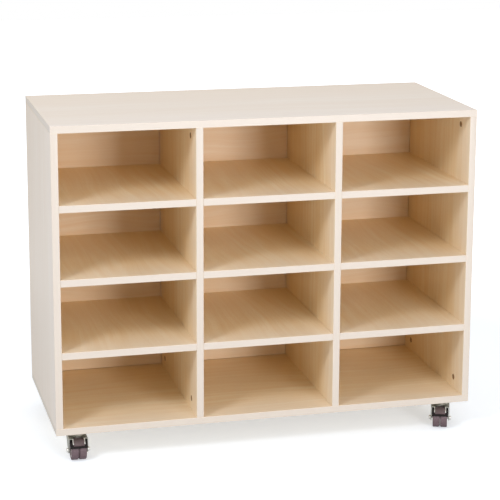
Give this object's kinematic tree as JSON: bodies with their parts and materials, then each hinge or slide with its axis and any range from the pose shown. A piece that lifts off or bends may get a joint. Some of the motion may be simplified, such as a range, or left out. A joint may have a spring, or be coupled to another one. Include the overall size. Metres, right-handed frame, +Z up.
{
  "type": "storage trolley",
  "caption": "Wide open cubby storage trolley in pale wood-effect board, with shelves between dividers, standing on twin-wheel swivel casters.",
  "frame": {"origin": "on the floor, under the middle of the carcass", "axes": "+Z up, +X along the width to the right as seen from the front, -Y out of the open front"},
  "size_m": [1.092, 0.4735, 0.857],
  "materials": {
    "maple_board": "satin melamine, maple effect",
    "cam_metal": "dark bronzed",
    "zinc_steel": "zinc plated",
    "beech": "raw, fluted",
    "hood_plastic": "moulded",
    "hub_plastic": "moulded",
    "grey_tyre": "smooth tread"
  },
  "bodies": {
    "carcass": {"top_panel": "maple_board", "bottom_panel": "maple_board", "left_side_panel": "maple_board", "left_divider": "maple_board", "right_divider": "maple_board", "right_side_panel": "maple_board", "left_lower_shelf": "maple_board", "left_middle_shelf": "maple_board", "left_upper_shelf": "maple_board", "centre_lower_shelf": "maple_board", "centre_middle_shelf": "maple_board", "centre_upper_shelf": "maple_board", "right_lower_shelf": "maple_board", "right_middle_shelf": "maple_board", "right_upper_shelf": "maple_board", "left_back_panel": "maple_board", "centre_back_panel": "maple_board", "right_back_panel": "maple_board", "cam_locks": "cam_metal", "cam_bolts": "zinc_steel", "short_dowels": "beech", "through_dowels": "beech", "caster_screws": "zinc_steel", "swivel_bearings": "zinc_steel", "swivel_rivets": "zinc_steel", "front_left_plate": "zinc_steel", "front_right_plate": "zinc_steel", "rear_left_plate": "zinc_steel", "rear_right_plate": "zinc_steel"},
    "front_left_swivel": {"front_left_fork": "zinc_steel", "front_left_hood": "hood_plastic", "front_left_axle": "zinc_steel"},
    "front_left_left_wheel": {"front_left_left_tyre": "grey_tyre", "front_left_left_hub": "hub_plastic"},
    "front_left_right_wheel": {"front_left_right_tyre": "grey_tyre", "front_left_right_hub": "hub_plastic"},
    "front_right_swivel": {"front_right_fork": "zinc_steel", "front_right_hood": "hood_plastic", "front_right_axle": "zinc_steel"},
    "front_right_left_wheel": {"front_right_left_tyre": "grey_tyre", "front_right_left_hub": "hub_plastic"},
    "front_right_right_wheel": {"front_right_right_tyre": "grey_tyre", "front_right_right_hub": "hub_plastic"},
    "rear_left_swivel": {"rear_left_fork": "zinc_steel", "rear_left_hood": "hood_plastic", "rear_left_axle": "zinc_steel"},
    "rear_left_left_wheel": {"rear_left_left_tyre": "grey_tyre", "rear_left_left_hub": "hub_plastic"},
    "rear_left_right_wheel": {"rear_left_right_tyre": "grey_tyre", "rear_left_right_hub": "hub_plastic"},
    "rear_right_swivel": {"rear_right_fork": "zinc_steel", "rear_right_hood": "hood_plastic", "rear_right_axle": "zinc_steel"},
    "rear_right_left_wheel": {"rear_right_left_tyre": "grey_tyre", "rear_right_left_hub": "hub_plastic"},
    "rear_right_right_wheel": {"rear_right_right_tyre": "grey_tyre", "rear_right_right_hub": "hub_plastic"}
  },
  "joints": [
    {"name": "front_left_swivel_turn", "type": "hinge", "parent": "carcass", "child": "front_left_swivel", "pos_m": [-0.488, -0.184, 0.0633], "axis": [0, 0, 1], "continuous": true},
    {"name": "front_left_left_wheel_spin", "type": "hinge", "parent": "front_left_swivel", "child": "front_left_left_wheel", "pos_m": [-0.488, -0.207, 0.025], "axis": [1, 0, 0], "continuous": true},
    {"name": "front_left_right_wheel_spin", "type": "hinge", "parent": "front_left_swivel", "child": "front_left_right_wheel", "pos_m": [-0.488, -0.207, 0.025], "axis": [1, 0, 0], "continuous": true},
    {"name": "front_right_swivel_turn", "type": "hinge", "parent": "carcass", "child": "front_right_swivel", "pos_m": [0.488, -0.184, 0.0633], "axis": [0, 0, 1], "continuous": true},
    {"name": "front_right_left_wheel_spin", "type": "hinge", "parent": "front_right_swivel", "child": "front_right_left_wheel", "pos_m": [0.47976, -0.20547, 0.025], "axis": [0.9336, -0.3584, 0], "continuous": true},
    {"name": "front_right_right_wheel_spin", "type": "hinge", "parent": "front_right_swivel", "child": "front_right_right_wheel", "pos_m": [0.47976, -0.20547, 0.025], "axis": [0.9336, -0.3584, 0], "continuous": true},
    {"name": "rear_left_swivel_turn", "type": "hinge", "parent": "carcass", "child": "rear_left_swivel", "pos_m": [-0.488, 0.184, 0.0633], "axis": [0, 0, 1], "continuous": true},
    {"name": "rear_left_left_wheel_spin", "type": "hinge", "parent": "rear_left_swivel", "child": "rear_left_left_wheel", "pos_m": [-0.4916, 0.16128, 0.025], "axis": [0.9877, -0.1564, 0], "continuous": true},
    {"name": "rear_left_right_wheel_spin", "type": "hinge", "parent": "rear_left_swivel", "child": "rear_left_right_wheel", "pos_m": [-0.4916, 0.16128, 0.025], "axis": [0.9877, -0.1564, 0], "continuous": true},
    {"name": "rear_right_swivel_turn", "type": "hinge", "parent": "carcass", "child": "rear_right_swivel", "pos_m": [0.488, 0.184, 0.0633], "axis": [0, 0, 1], "continuous": true},
    {"name": "rear_right_left_wheel_spin", "type": "hinge", "parent": "rear_right_swivel", "child": "rear_right_left_wheel", "pos_m": [0.4912, 0.16122, 0.025], "axis": [0.9903, 0.1392, 0], "continuous": true},
    {"name": "rear_right_right_wheel_spin", "type": "hinge", "parent": "rear_right_swivel", "child": "rear_right_right_wheel", "pos_m": [0.4912, 0.16122, 0.025], "axis": [0.9903, 0.1392, 0], "continuous": true}
  ]
}
